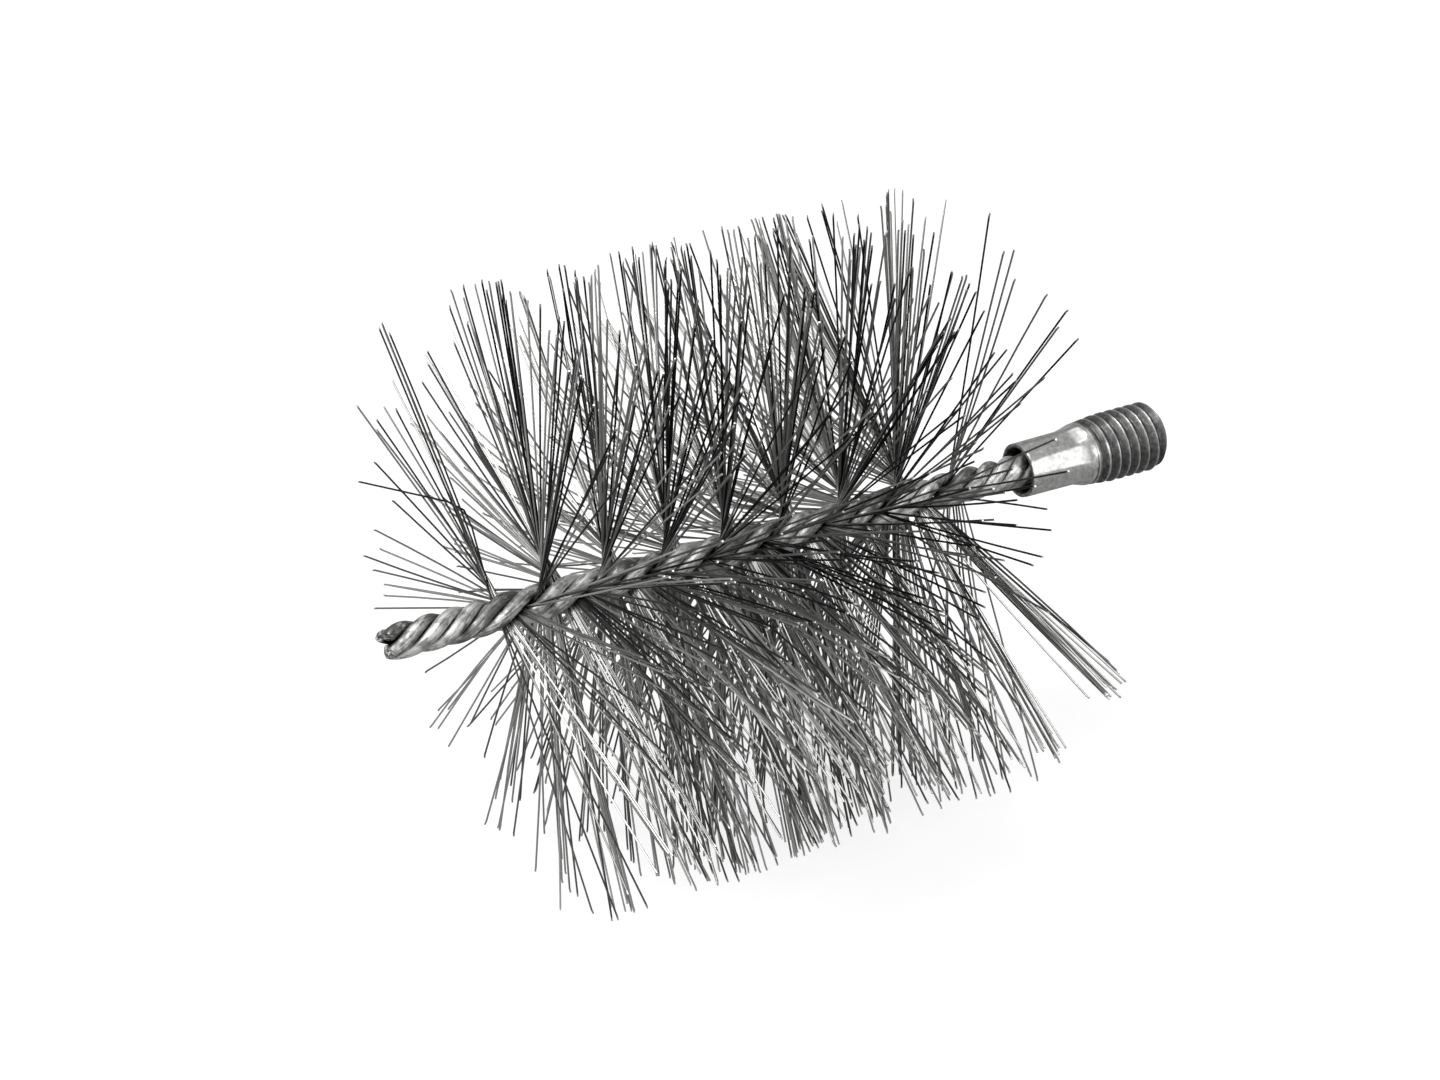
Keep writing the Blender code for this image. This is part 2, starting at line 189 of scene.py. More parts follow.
# The ferrule's bore: how deep it is, its play round the stem, and how it widens to the mouth
BORE_DEPTH = 12.4 * MM
BORE_PLAY = 0.06 * MM
BORE_WIDENING = ((BORE_DEPTH, 0.0), (3.2 * MM, 0.0), (2.2 * MM, 0.15 * MM))

# The ferrule's mouth and rim: millimetres from the mouth, radius in millimetres, and how bright it
# is painted, dark as shade inside the mouth
MOUTH = 125.1 * MM
MOUTH_RADIUS = 5.0 * MM
MOUTH_SECTION = (
    (1.0, 3.9, 0.08),
    (0.35, 4.18, 0.12),
    (0.08, 4.3, 0.3),
    (0.0, 4.42, 0.45),
    (0.0, 4.75, 0.5),
    (0.07, 4.92, 0.7),
    (0.25, 5.0, 0.8),
)

# The ferrule's collar and shank
COLLAR_LENGTH = 13.5 * MM
COLLAR_STRAIGHT = 10.0 * MM
COLLAR_RINGS = np.arange(0.5, 13.5, 0.1) * MM
WAIST_RADIUS = 5.2 * MM
NECK_RADIUS = 5.75 * MM
LEAD_IN_LENGTH = 5.5 * MM
END_CHAMFER = 1.2 * MM
# How bright each stretch is painted: the bore dark, as painted shade
BORE_SHADE, COLLAR_WEAR, SHANK_WEAR, END_WEAR = 0.05, 0.76, 0.75, 0.6

# The flats that the crimping dies pressed
CRIMP_FLATS = 8
CRIMP_TURN = math.radians(152.0)
CRIMP_DEPTHS = (0.12 * MM, 0.3 * MM)
CRIMP_LENGTH = 12.8 * MM
CRIMP_STEP = 1.2 * MM
RIM_HEIGHT = 0.3 * MM
FLAT_POINTS = 12
ROUND_POINTS = 4
WIDEST_FLAT = 0.495

# The thread: half an inch across, with 12 turns to the inch
THREAD_MAJOR = 6.35 * MM
THREAD_PITCH = 25.4 * MM / 12
THREAD_DEPTH = 0.45 * THREAD_PITCH
THREAD_RING = 0.075 * MM
THREAD_PHASE = 0.28
THREAD_RUN_OUT = 1.5 * MM
THREAD_FLOOR = 4.4 * MM
RIDGE = (0.06, 1.12)
# Levels in the root, on the flanks and at the crest; the sharpness narrows the crest's bright
# line, which is a painted highlight as well as rubbed zinc
ROOT_LEVEL, FLANK_LEVEL, CREST_SHEEN_AND_WEAR = 0.16, 0.22, 0.85
CREST_SHARPNESS = 12.0

# The photograph's view
VIEW_AZIMUTH = math.radians(30.566)
VIEW_ELEVATION = math.radians(27.55)
VIEW_DISTANCE = 568.9 * MM
VIEW_SHIFT = (-12.87 * MM, -1.37 * MM)
VIEW_AIM_STATION = 78.4 * MM
FOCAL_PIXELS = 3309.5
IMAGE_WIDTH = 1440
SENSOR_WIDTH = 36.0
CLIP_START = 0.01

# How bright the room is away from the lamps, and how high above the horizon its white ends
ROOM_LEVEL = 0.22
HORIZON_FADE = (0.02, 0.25)

# The paper: half its side, where its faint shade by the brush fades out, how white the camera
# sees it at both ends of that, and its glow in reflections
TABLE_HALF = 6.0
PAPER_FADE = (0.25, 0.6)
PAPER_SEEN = (0.8, 1.0)
PAPER_GLOW = 0.06

# The lamps: direction from the brush, distance, width, length and radiance
LAMPS = {
    "overhead_softbox": ((-0.35, 0.0, 0.95), 1.15, 0.6, 1.8, 4.5),
    "left_softbox": ((-0.95, -0.05, 0.27), 1.1, 1.7, 0.7, 2.6),
    "front_card": ((0.45, -0.81, 0.37), 1.0, 0.6, 0.5, 3.0),
}

# The stem's steel. Real drawing streaks are too fine to show, and so these are coarser
STREAK_WIDTH = 0.236 * MM
STREAK_LENGTH = 1.4285714 * MM
STREAK_DEPTH = 0.08 * MM
SCUFF_WIDTH = 0.90769231 * MM
BLOTCH_WIDTH = 2.3809524 * MM
GRAIN_CONTRAST = 2.8

# The torn steel of the sheared tips: its grain, coarser than real for the same reason, and where
# it starts and stops fading into the drawn surface
TORN_GRAIN = 0.66666667 * MM
TORN_FADE = (0.05 * MM, 0.5 * MM)

# The ferrule's zinc: its mottle, and the waves that pressing left, with their depth
MOTTLE_WIDTH = 0.90909091 * MM
WAVE_WIDTH = 3.8461538 * MM
WAVE_DEPTH = 0.05 * MM

# The last of a bristle's length, which shows the bright face of the cut
CUT_FACE = (0.985, 0.999)

# The bristles' tone: one upper side is painted darker as shade; the opposite side and the
# underside are paler, as painted light. The shaded side turns from the first angle to the second
# along the reach. A bristle's own shade is drawn within a spread, below the axis and above it, and
# a power under 1 favours its ends
PAINTED_SHADE_ANGLES = (math.radians(90.0), math.radians(149.0))
PAINTED_SIDE_SHADE = 0.27
PAINTED_SHADE_REACH = 60.0 * MM
UPPER_SHADE = 0.6
UPPER_SHADE_LOSS = 0.1
LOWER_SHADE = 0.56
LOWER_LIMIT = 0.76
SHADE_SPREAD = (0.33, 0.46)
SHADE_POWER = 0.6
UPPER_SLOPE = 2.0


def station(x):
    """The point on the axis at one station."""
    return Vector((x - TOTAL_LENGTH / 2, 0.0, AXIS_HEIGHT))


def spoke(angle):
    """The direction away from the axis at one angle."""
    return Vector((0.0, math.cos(angle), math.sin(angle)))


def add(tree, kind, inputs=(), stops=(), **settings):
    """Adds a node, sets its properties, and fills its sockets, in order or by name or number,
    with values or links. A node given there stands for its first output. Stops are the positions
    and hex colours of a colour ramp."""
    node = tree.nodes.new(kind)
    for name, value in settings.items():
        setattr(node, name, value)
    for key, value in inputs.items() if isinstance(inputs, dict) else enumerate(inputs):
        if isinstance(value, bpy.types.Node):
            value = value.outputs[0]
        if isinstance(value, bpy.types.NodeSocket):
            tree.links.new(value, node.inputs[key])
        else:
            node.inputs[key].default_value = value
    if stops:
        elements = node.color_ramp.elements
        while len(elements) < len(stops):
            elements.new(0.5)
        for element, (position, code) in zip(elements, stops):
            element.position = position
            element.color = hex_colour(code)
    return node


def hex_colour(code):
    """An sRGB hex colour as linear red, green, blue and alpha."""
    shares = [int(code[i : i + 2], 16) / 255 for i in (1, 3, 5)]
    linear = [s / 12.92 if s <= 0.04045 else ((s + 0.055) / 1.055) ** 2.4 for s in shares]
    return (*linear, 1.0)


def new_material(name):
    """A material with an empty node tree."""
    material = bpy.data.materials.new(name)
    material.use_nodes = True
    material.node_tree.nodes.clear()
    return material, material.node_tree


def drawn_wire_steel():
    """Galvanised low-carbon wire, cold drawn and then twisted: dull grey, streaked lengthwise,
    scuffed bright where the twisting tools and the brush's use have rubbed it, and painted near
    black as shade deep between the wires."""
    material, tree = new_material("galvanised_drawn_wire")
    around, along, tone, groove_shade = (
        add(tree, "ShaderNodeAttribute", attribute_name=name).outputs["Fac"]
        for name in ("around", "along", "tone", "groove_shade")
    )
    # The place on a wire, in radii round it, and stretched along it as the streaks are
    streak_scale = STEM_WIRE / 2 / STREAK_WIDTH
    turn = add(tree, MATH, (around, 2 * math.pi), operation="MULTIPLY")
    place_on_wire = add(
        tree,
        "ShaderNodeCombineXYZ",
        (
            add(tree, MATH, (turn,), operation="COSINE"),
            add(tree, MATH, (turn,), operation="SINE"),
            add(tree, MATH, (along, 1 / (STREAK_LENGTH * streak_scale)), operation="MULTIPLY"),
        ),
    )
    place_on_part = add(tree, "ShaderNodeTexCoord").outputs["Object"]
    streaks, scuffs, blotches, torn = (
        add(
            tree,
            "ShaderNodeTexNoise",
            {"Vector": place, "Scale": scale, "Detail": detail, "Roughness": roughness},
        )
        for place, scale, detail, roughness in (
            (place_on_wire, streak_scale, 6.0, 0.65),
            (place_on_wire, STEM_WIRE / 2 / SCUFF_WIDTH, 3.0, 0.7),
            (place_on_part, 1 / BLOTCH_WIDTH, 3.0, 0.6),
            (place_on_part, 1 / TORN_GRAIN, 3.0, 0.7),
        )
    )
    # The four wires differ in tone, and what is rubbed past the ramp's end is brightest
    grain = add(tree, MATH, (streaks, blotches), operation="MULTIPLY")
    level = add(tree, MATH, (grain, GRAIN_CONTRAST, tone), operation="MULTIPLY_ADD")
    rubbed = add(
        tree,
        "ShaderNodeMapRange",
        {"Value": scuffs, "From Min": 0.48, "From Max": 0.7, "To Max": 0.3},
    )
    drawn = add(
        tree,
        "ShaderNodeValToRGB",
        (add(tree, MATH, (level, rubbed), operation="ADD"),),
        ((0.3, "#585858"), (0.75, "#8e8e8d"), (1.0, "#c6c6c4"), (1.0, "#e4e4e2")),
    )
    # A colour mix takes its two colours at sockets 6 and 7, and gives the result at 2
    # Painted shade: deep between the wires the colour goes near black
    darkened = add(
        tree, "ShaderNodeMix", {0: groove_shade, 6: drawn, 7: hex_colour("#141414")}, data_type="RGBA"
    )
    # The cut ends are dark with bright torn patches
    torn_steel = add(
        tree,
        "ShaderNodeValToRGB",
        (torn,),
        ((0.38, "#2a2a2a"), (0.5, "#8a8a88"), (0.62, "#eeeeec")),
    )
    end = add(
        tree,
        "ShaderNodeMapRange",
        {
            "Value": along,
            "From Min": TORN_FADE[0],
            "From Max": TORN_FADE[1],
            "To Min": 1.0,
            "To Max": 0.0,
        },
    )
    shown = add(
        tree, "ShaderNodeMix", {0: end, 6: darkened.outputs[2], 7: torn_steel}, data_type="RGBA"
    )
    rough = add(
        tree,
        "ShaderNodeMapRange",
        {"Value": streaks, "From Min": 0.3, "From Max": 0.7, "To Min": 0.42, "To Max": 0.65},
    )
    relief = add(tree, MATH, (torn, end, grain), operation="MULTIPLY_ADD")
    bump = add(
        tree, "ShaderNodeBump", {"Strength": 0.5, "Distance": STREAK_DEPTH, "Height": relief}
    )
    shader = add(
        tree,
        "ShaderNodeBsdfPrincipled",
        {"Base Color": shown.outputs[2], "Metallic": 1.0, "Roughness": rough, "Normal": bump},
    )
    add(tree, "ShaderNodeOutputMaterial", (shader,))
    return material


def spring_steel_wire():
    """Hardened and tempered spring-steel wire: smooth and dark, each wire a little different,
    with a bright face where it was cut to length."""
    material, tree = new_material("tempered_spring_steel_wire")
    shade, along = (
        add(tree, "ShaderNodeAttribute", attribute_name=name).outputs["Fac"]
        for name in ("shade", "along")
    )
    steel = add(
        tree,
        "ShaderNodeValToRGB",
        (shade,),
        ((0.0, "#1e1e1e"), (0.25, "#5a5a59"), (0.6, "#aeaeac"), (1.0, "#e2e2e0")),
    )
    cut = add(
        tree,
        "ShaderNodeMapRange",
        {"Value": along, "From Min": CUT_FACE[0], "From Max": CUT_FACE[1]},
    )
    colour = add(
        tree, "ShaderNodeMix", {0: cut, 6: steel, 7: hex_colour("#d8d8d6")}, data_type="RGBA"
    )
    shader = add(
        tree,
        "ShaderNodeBsdfPrincipled",
        {"Base Color": colour.outputs[2], "Metallic": 1.0, "Roughness": 0.33},
    )
    add(tree, "ShaderNodeOutputMaterial", (shader,))
    return material


def zinc_plate():
    """Turned steel with bright zinc plating: a satin shine, softly waved on the pressed collar,
    rubbed bright with a painted highlight on the thread's crests, darker in the thread's roots,
    and painted dark as shade in the bore and the mouth."""
    material, tree = new_material("bright_zinc_plated_steel")
    wear_shade_and_sheen = add(tree, "ShaderNodeAttribute", attribute_name="wear_shade_and_sheen").outputs["Fac"]
    place = add(tree, "ShaderNodeTexCoord").outputs["Object"]
    mottle = add(
        tree,
        "ShaderNodeTexNoise",
        {"Vector": place, "Scale": 1 / MOTTLE_WIDTH, "Detail": 5.0, "Roughness": 0.7},
    )
    waves = add(
        tree, "ShaderNodeTexNoise", {"Vector": place, "Scale": 1 / WAVE_WIDTH, "Detail": 2.0}
    )
    spread = add(tree, MATH, (mottle, 0.5), operation="SUBTRACT")
    # The level holds real wear and painted light: a highlight on the thread's crests, and shade in
    # the bore and mouth
    level = add(tree, MATH, (spread, wear_shade_and_sheen), operation="ADD")
    colour = add(
        tree,
        "ShaderNodeValToRGB",
        (level,),
        ((0.0, "#3a3a3a"), (0.35, "#7c7c7b"), (0.62, "#b4b4b3"), (1.0, "#f0f0ee")),
    )
    rough = add(tree, "ShaderNodeMapRange", {"Value": level, "To Min": 0.5, "To Max": 0.4})
    bump = add(
        tree, "ShaderNodeBump", {"Strength": 0.25, "Distance": WAVE_DEPTH, "Height": waves}
    )
    shader = add(
        tree,
        "ShaderNodeBsdfPrincipled",
        {"Base Color": colour, "Metallic": 1.0, "Roughness": rough, "Normal": bump},
    )
    add(tree, "ShaderNodeOutputMaterial", (shader,))
    return material


def smooth_step(share):
    """An S-shaped rise from 0 to 1."""
    share = min(max(share, 0.0), 1.0)
    return share * share * (3 - 2 * share)


def fill_share(x):
    """1 where the bristles hold the wires apart, 0 on the bare stubs."""
    opening = smooth_step((x - FILL_START) / LEAD_CHANGE + 1)
    closing = smooth_step((FILL_END - x) / LEAD_CHANGE + 1)
    return opening * closing


def lead_at(x):
    """The length of one full turn of the stem's wires."""
    bare = TIP_LEAD + (TIGHT_LEAD - TIP_LEAD) * smooth_step(x / FILL_START)
    return bare + (FILL_LEAD - bare) * fill_share(x)


# How far the stem has turned at each of many stations
STEM_END = MOUTH + STEM_IN_BORE
STATIONS = np.linspace(FIRST_STATION, STEM_END, STATION_COUNT)
LEADS = [lead_at(x) for x in (STATIONS[1:] + STATIONS[:-1]) / 2]
TURNED = np.concatenate(([0.0], np.cumsum(np.diff(STATIONS) * 2 * math.pi / LEADS)))


def packed_angle(x):
    """The angle of the packed bristles round the axis: a left-hand twist."""
    start = np.interp(FILL_START, STATIONS, TURNED)
    return START_ANGLE + start - np.interp(x, STATIONS, TURNED)


def wire_offsets(lead, packed):
    """Half the spacing of a pair's two wires, and half that of the two pairs, when they touch."""
    radius = STEM_WIRE / 2
    in_pair = radius
    pairs = radius + packed / 2
    for _ in range(OFFSET_ROUNDS):
        winding = math.hypot(in_pair, pairs)
        long_half = radius * math.hypot(1.0, 2 * math.pi * winding / lead)
        in_pair = math.hypot(long_half * pairs, radius * in_pair) / winding + WIRE_TOUCH / 2
        apart = math.hypot(long_half * in_pair, radius * pairs) / winding
        pairs = apart + (WIRE_TOUCH + packed) / 2
    return in_pair, pairs


BARE_OFFSETS = wire_offsets(TIGHT_LEAD, 0.0)
FILL_OFFSETS = wire_offsets(FILL_LEAD, PACKED_THICKNESS)
BARE_RADIUS = math.hypot(*BARE_OFFSETS) + STEM_WIRE / 2


def wire_centre(x, signs):
    """The middle of one stem wire, which its two signs choose."""
    share = fill_share(x)
    in_pair, pairs = (b + (f - b) * share for b, f in zip(BARE_OFFSETS, FILL_OFFSETS))
    along = spoke(packed_angle(x))
    off = Vector((0.0, -along.z, along.y))
    return station(x) + along * in_pair * signs[0] + off * pairs * signs[1]


def link(name, mesh):
    """Puts a mesh into the scene."""
    thing = bpy.data.objects.new(name, mesh)
    bpy.context.scene.collection.objects.link(thing)
    return thing


def carrier(name, points, edges=(), **attributes):
    """An object of bare points, with their attributes, for a node tree to work on."""
    mesh = bpy.data.meshes.new(name)
    mesh.from_pydata(points, edges, [])
    for key, values in attributes.items():
        vector = hasattr(values[0], "__len__")
        made = mesh.attributes.new(key, "FLOAT_VECTOR" if vector else "FLOAT", "POINT")
        made.data.foreach_set("vector" if vector else "value", np.ravel(values).astype(np.float32))
    return link(name, mesh)


def new_tree(name, sizes):
    """A geometry tree with named inputs for its sizes."""
    tree = bpy.data.node_groups.new(name, "GeometryNodeTree")
    tree.interface.new_socket("Geometry", in_out="OUTPUT", socket_type="NodeSocketGeometry")
    tree.interface.new_socket("Geometry", in_out="INPUT", socket_type="NodeSocketGeometry")
    for label, kind in sizes:
        tree.interface.new_socket(label, in_out="INPUT", socket_type=f"NodeSocket{kind}")
    return tree, tree.nodes.new("NodeGroupInput").outputs


def grow(start, tree, **values):
    """Runs a node tree on an object and returns the result as a plain mesh object."""
    modifier = start.modifiers.new(tree.name, "NODES")
    modifier.node_group = tree
    sockets = {
        item.name.replace(" ", "_").lower(): item.identifier
        for item in tree.interface.items_tree
        if item.item_type == "SOCKET" and item.in_out == "INPUT"
    }
    for key, value in values.items():
        modifier[sockets[key]] = value
    bpy.context.view_layer.update()
    evaluated = start.evaluated_get(bpy.context.evaluated_depsgraph_get())
    mesh = bpy.data.meshes.new_from_object(evaluated)
    start.modifiers.remove(modifier)
    name = start.name
    bpy.data.objects.remove(start)
    return link(name, mesh)


def finish_tree(tree, geometry, material):
    """Every tree ends alike: real geometry, smooth, in its material."""
    smooth = add(tree, "GeometryNodeSetShadeSmooth", {"Geometry": geometry})
    real = add(tree, "GeometryNodeRealizeInstances", {"Geometry": smooth})
    coated = add(tree, "GeometryNodeSetMaterial", {"Geometry": real, "Material": material})
    add(tree, "NodeGroupOutput", (coated,))


def keep(piece, slot, *nodes):
    """Hangs a finished piece on the brush's one body, in place of its CAD nodes."""
    piece.data.set_sharp_from_angle(angle=math.radians(CREASE_ANGLE))
    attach(piece, "root")
    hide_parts(*nodes)


def wire_tree(material):
    """Sweeps a round wire along a line, and marks the place along it and around it."""
    tree, given = new_tree("drawn_wire", (("Wire Radius", "Float"), ("Sides", "Int")))
    line = add(tree, "GeometryNodeMeshToCurve", {"Mesh": given["Geometry"]})
    circle = add(
        tree,
        "GeometryNodeCurvePrimitiveCircle",
        {"Resolution": given["Sides"], "Radius": given["Wire Radius"]},
    )
    spline = add(tree, "GeometryNodeSplineParameter").outputs
    path, profile = (
        add(tree, STORE, {"Geometry": curve, "Name": name, "Value": value}, data_type="FLOAT")
        for curve, name, value in (
            (line, "along", spline["Length"]),
            (circle, "around", spline["Factor"]),
        )
    )
    swept = add(
        tree,
        "GeometryNodeCurveToMesh",
        {"Curve": path, "Profile Curve": profile, "Fill Caps": True},
    )
    finish_tree(tree, swept, material)
    return tree


def points_of(mesh):
    """The mesh's points, one row each."""
    co = np.empty(len(mesh.vertices) * 3)
    mesh.vertices.foreach_get("co", co)
    return co.reshape(-1, 3)


def shear_tip(mesh, centre, heading, slant, angle):
    """Cuts a wire's tip on the slant and pinches it to a wedge, as shears leave it."""
    co = points_of(mesh)
    offset = co - np.array(centre)
    back = -offset @ np.array(heading)
    across = offset @ np.array(slant)
    near = np.clip(1 - back / SHEAR_REACH, 0.0, 1.0) * (back < SHEAR_REACH)
    pinched = np.clip(1 - back / PINCH_REACH, 0.0, 1.0) * (back < PINCH_REACH)
    near = np.where(np.linalg.norm(offset, axis=1) < SHEAR_REACH + STEM_WIRE, near, 0.0)
    pinched = np.where(near > 0, pinched, 0.0)
    co += np.outer(near * across * math.tan(math.radians(angle)), heading)
    co -= np.outer(pinched * PINCH * across, slant)
    # No tip reaches past the end of the brush
    co[:, 0] = np.maximum(co[:, 0], TIP_CLEARANCE - TOTAL_LENGTH / 2)
    mesh.vertices.foreach_set("co", co.ravel())
    mesh.update()


def shade_grooves(mesh):
    """Marks the painted shade deep between the wires, by the distance from the stem's axis."""
    co = points_of(mesh)
    radius = np.hypot(co[:, 1], co[:, 2] - AXIS_HEIGHT)
    inner, outer = GROOVE_RADII
    share = 1 - np.clip((radius - inner) / (outer - inner), 0.0, 1.0)
    groove_shade = mesh.attributes.new("groove_shade", "FLOAT", "POINT")
    groove_shade.data.foreach_set("value", share.astype(np.float32))


def make_stem(material):
    """The four twisted wires, each with its own tone and sheared tip."""
    tree = wire_tree(material)
    wires = zip(WIRE_SIGNS, WIRE_TONES, TIP_STAGGERS, SHEAR_SIDES, SHEAR_ANGLES)
    for number, (signs, tone, start, side, angle) in enumerate(wires, 1):
        count = round((STEM_END - start) / RING_SPACING)
        line = [wire_centre(x, signs) for x in np.linspace(start, STEM_END, count)]
        edges = [(i, i + 1) for i in range(len(line) - 1)]
        wire = grow(
            carrier(f"twisted_wire_{number}", line, edges, tone=[tone] * len(line)),
            tree,
            wire_radius=STEM_WIRE / 2,
            sides=WIRE_SIDES,
        )
        heading = (line[0] - line[1]).normalized()
        facing = spoke(math.radians(side))
        slant = (facing - heading * facing.dot(heading)).normalized()
        shade_grooves(wire.data)
        shear_tip(wire.data, line[0], heading, slant, -angle)
        keep(wire, "stem_wire", f"stem_wire_{number}")


def packed_strands(node):
    """The strands of one packed tuft as (root, tip): each is a straight, long and thin prism."""
    bm = bmesh.new()
    bm.from_mesh(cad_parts[node].data)
    bmesh.ops.remove_doubles(bm, verts=bm.verts, dist=MERGE)
    strands = []
    for edge in bm.edges:
        if edge.calc_length() < LONG_EDGE:
            continue
        near, far = sorted(
            edge.verts, key=lambda vert: math.hypot(vert.co.y, vert.co.z - AXIS_HEIGHT)
        )
        ours = ({near}, {far})
        for other in [strand for strand in strands if strand[0] & ours[0] or strand[1] & ours[1]]:
            strands.remove(other)
            ours = (ours[0] | other[0], ours[1] | other[1])
        strands.append(ours)
    ends = [
        [sum((vert.co for vert in end), Vector()) / len(end) for end in strand]
        for strand in strands
    ]
    bm.free()
    return ends


class Bristle:
    """One bristle: where it leaves the axis, and how far it leans and swirls per unit of reach."""

    def __init__(self, x, outward, lean, swirl, reach):
        self.x = x
        self.outward = outward
        self.lean = lean
        self.swirl = swirl
        self.reach = reach
        self.bent_by = Vector()
        self.darkened = False

    @property
    def station(self):
        """Where it stands, counted from the sheared tip."""
        return self.x + TOTAL_LENGTH / 2

    @property
    def angle(self):
        """Its direction in degrees."""
        return math.degrees(math.atan2(self.outward.z, self.outward.y)) % 360

    def tip(self):
        """The tip, cut to the brush's round outline and no lower than the floor."""
        sideways = Vector((1.0, 0.0, 0.0)).cross(self.outward)
        run = self.reach - GRIP_RADIUS
        out = self.outward * self.reach + sideways * self.swirl * run
        out *= min(TIP_LIMIT / out.length, 1.0)
        point = Vector((self.x + self.lean * run, 0.0, AXIS_HEIGHT)) + out
        point.z = max(point.z, BRISTLE_WIRE / 2)
        return point


def measured(root, tip):
    """A packed strand as a bristle."""
    outward = Vector((0.0, root.y, root.z - AXIS_HEIGHT)).normalized()
    sideways = Vector((1.0, 0.0, 0.0)).cross(outward)
    out = Vector((0.0, tip.y, tip.z - AXIS_HEIGHT))
    reach = out.dot(outward)
    run = reach - GRIP_RADIUS
    return Bristle(root.x, outward, (tip.x - root.x) / run, out.dot(sideways) / run, reach)


def worn_patch(bristle):
    """The share left and the lean added in the bristle's worn patch, if it stands in one."""
    for first, last, low, high, share, lean in WORN_PATCHES:
        if first <= bristle.station < last and low <= bristle.angle < high:
            return share, lean
    return None


def crowding(bristle):
    """The share of bristles kept: the first turn of the fill is thinner, and so is the last one,
    apart from the worn patches."""
    patch = worn_patch(bristle)
    if patch:
        return patch[0]
    x = bristle.station
    before = smooth_step((SPARSE_TO - x) / (SPARSE_TO - FILL_START))
    past = smooth_step((x - SPARSE_FROM) / SPARSE_FADE)
    loss = LAST_TURN_LOSS_ABOVE if bristle.outward.z > 0 else LAST_TURN_LOSS_BELOW
    return 1.0 - FIRST_TURN_LOSS * before - past * loss


def loose_count(bristle, rng):
    """How many loose bristles lie beside a packed one."""
    if bristle.outward.z >= BELOW:
        usual = LOOSE_DENSE if DENSE_ABOVE[0] < bristle.x < DENSE_ABOVE[1] else LOOSE_ABOVE
    elif abs(bristle.x) < DENSE_REACH:
        usual = LOOSE_MIDDLE
    else:
        usual = LOOSE_TIPWARDS if bristle.x < 0 else LOOSE_INWARDS
    return int(usual + rng.random())


def comb(bristle, rng):
    """Leans a bristle as its worn patch does. The near side of the last turn is a loose bundle."""
    off = bristle.angle - BUNDLE_ANGLE
    patch = worn_patch(bristle)
    if bristle.station > LAST_TURN and abs(off) < BUNDLE_HALF:
        bristle.swirl = BUNDLE_SWIRL * bristle.swirl - math.radians(BUNDLE_GATHER * off)
        bristle.lean = BUNDLE_LEAN + rng.gauss(0.0, BUNDLE_SPREAD)
    elif patch:
        bristle.lean += patch[1] * rng.uniform(*COMBING)
    return bristle


def bent_bristle():
    """The bristle near the tip that something has bent over."""
    x = BENT_STATION - TOTAL_LENGTH / 2
    bristle = Bristle(x, Vector(BENT_OUTWARD), BENT_LEAN, 0.0, BENT_REACH)
    bristle.bent_by = Vector(BENT_BY)
    bristle.darkened = True
    return bristle


def stray_bristles():
    """The few bristles that reach over the ferrule's mouth."""
    return [
        Bristle(root - TOTAL_LENGTH / 2, spoke(math.radians(angle)), lean, 0.0, STRAY_REACH)
        for root, angle, lean in STRAYS
    ]


def tuft_bristles(node, rng):
    """A bristle for every packed strand of a tuft, and up to four looser ones beside each."""
    bristles = []
    packed = [measured(root, tip) for root, tip in packed_strands(node)]
    for side in (1, -1):
        row = [
            bristle
            for bristle in packed
            if side * bristle.outward.dot(spoke(packed_angle(bristle.station))) > 0
        ]
        row.sort(key=lambda bristle: bristle.x)
        spacing = (row[-1].x - row[0].x) / (len(row) - 1)
        for bristle, after in zip(row, row[1:] + row[-1:]):
            beside = loose_count(bristle, rng)
            lean, swirl = bristle.lean, bristle.swirl
            if rng.random() > crowding(bristle):
                continue
            bristles.append(comb(bristle, rng))
            for share in LOOSE_PLACES[:beside]:
                x = bristle.x + spacing * share
                loose = Bristle(
                    x,
                    side * spoke(packed_angle(x + TOTAL_LENGTH / 2)),
                    lean + (after.lean - lean) * share + rng.gauss(0.0, LOOSE_LEAN),
                    swirl + (after.swirl - swirl) * share + rng.gauss(0.0, LOOSE_LEAN),
                    BRUSH_RADIUS - TRIM * max(rng.uniform(-1.0, 1.0), 0.0),
                )
                if rng.random() < crowding(loose) ** 2:
                    bristles.append(comb(loose, rng))
    return bristles


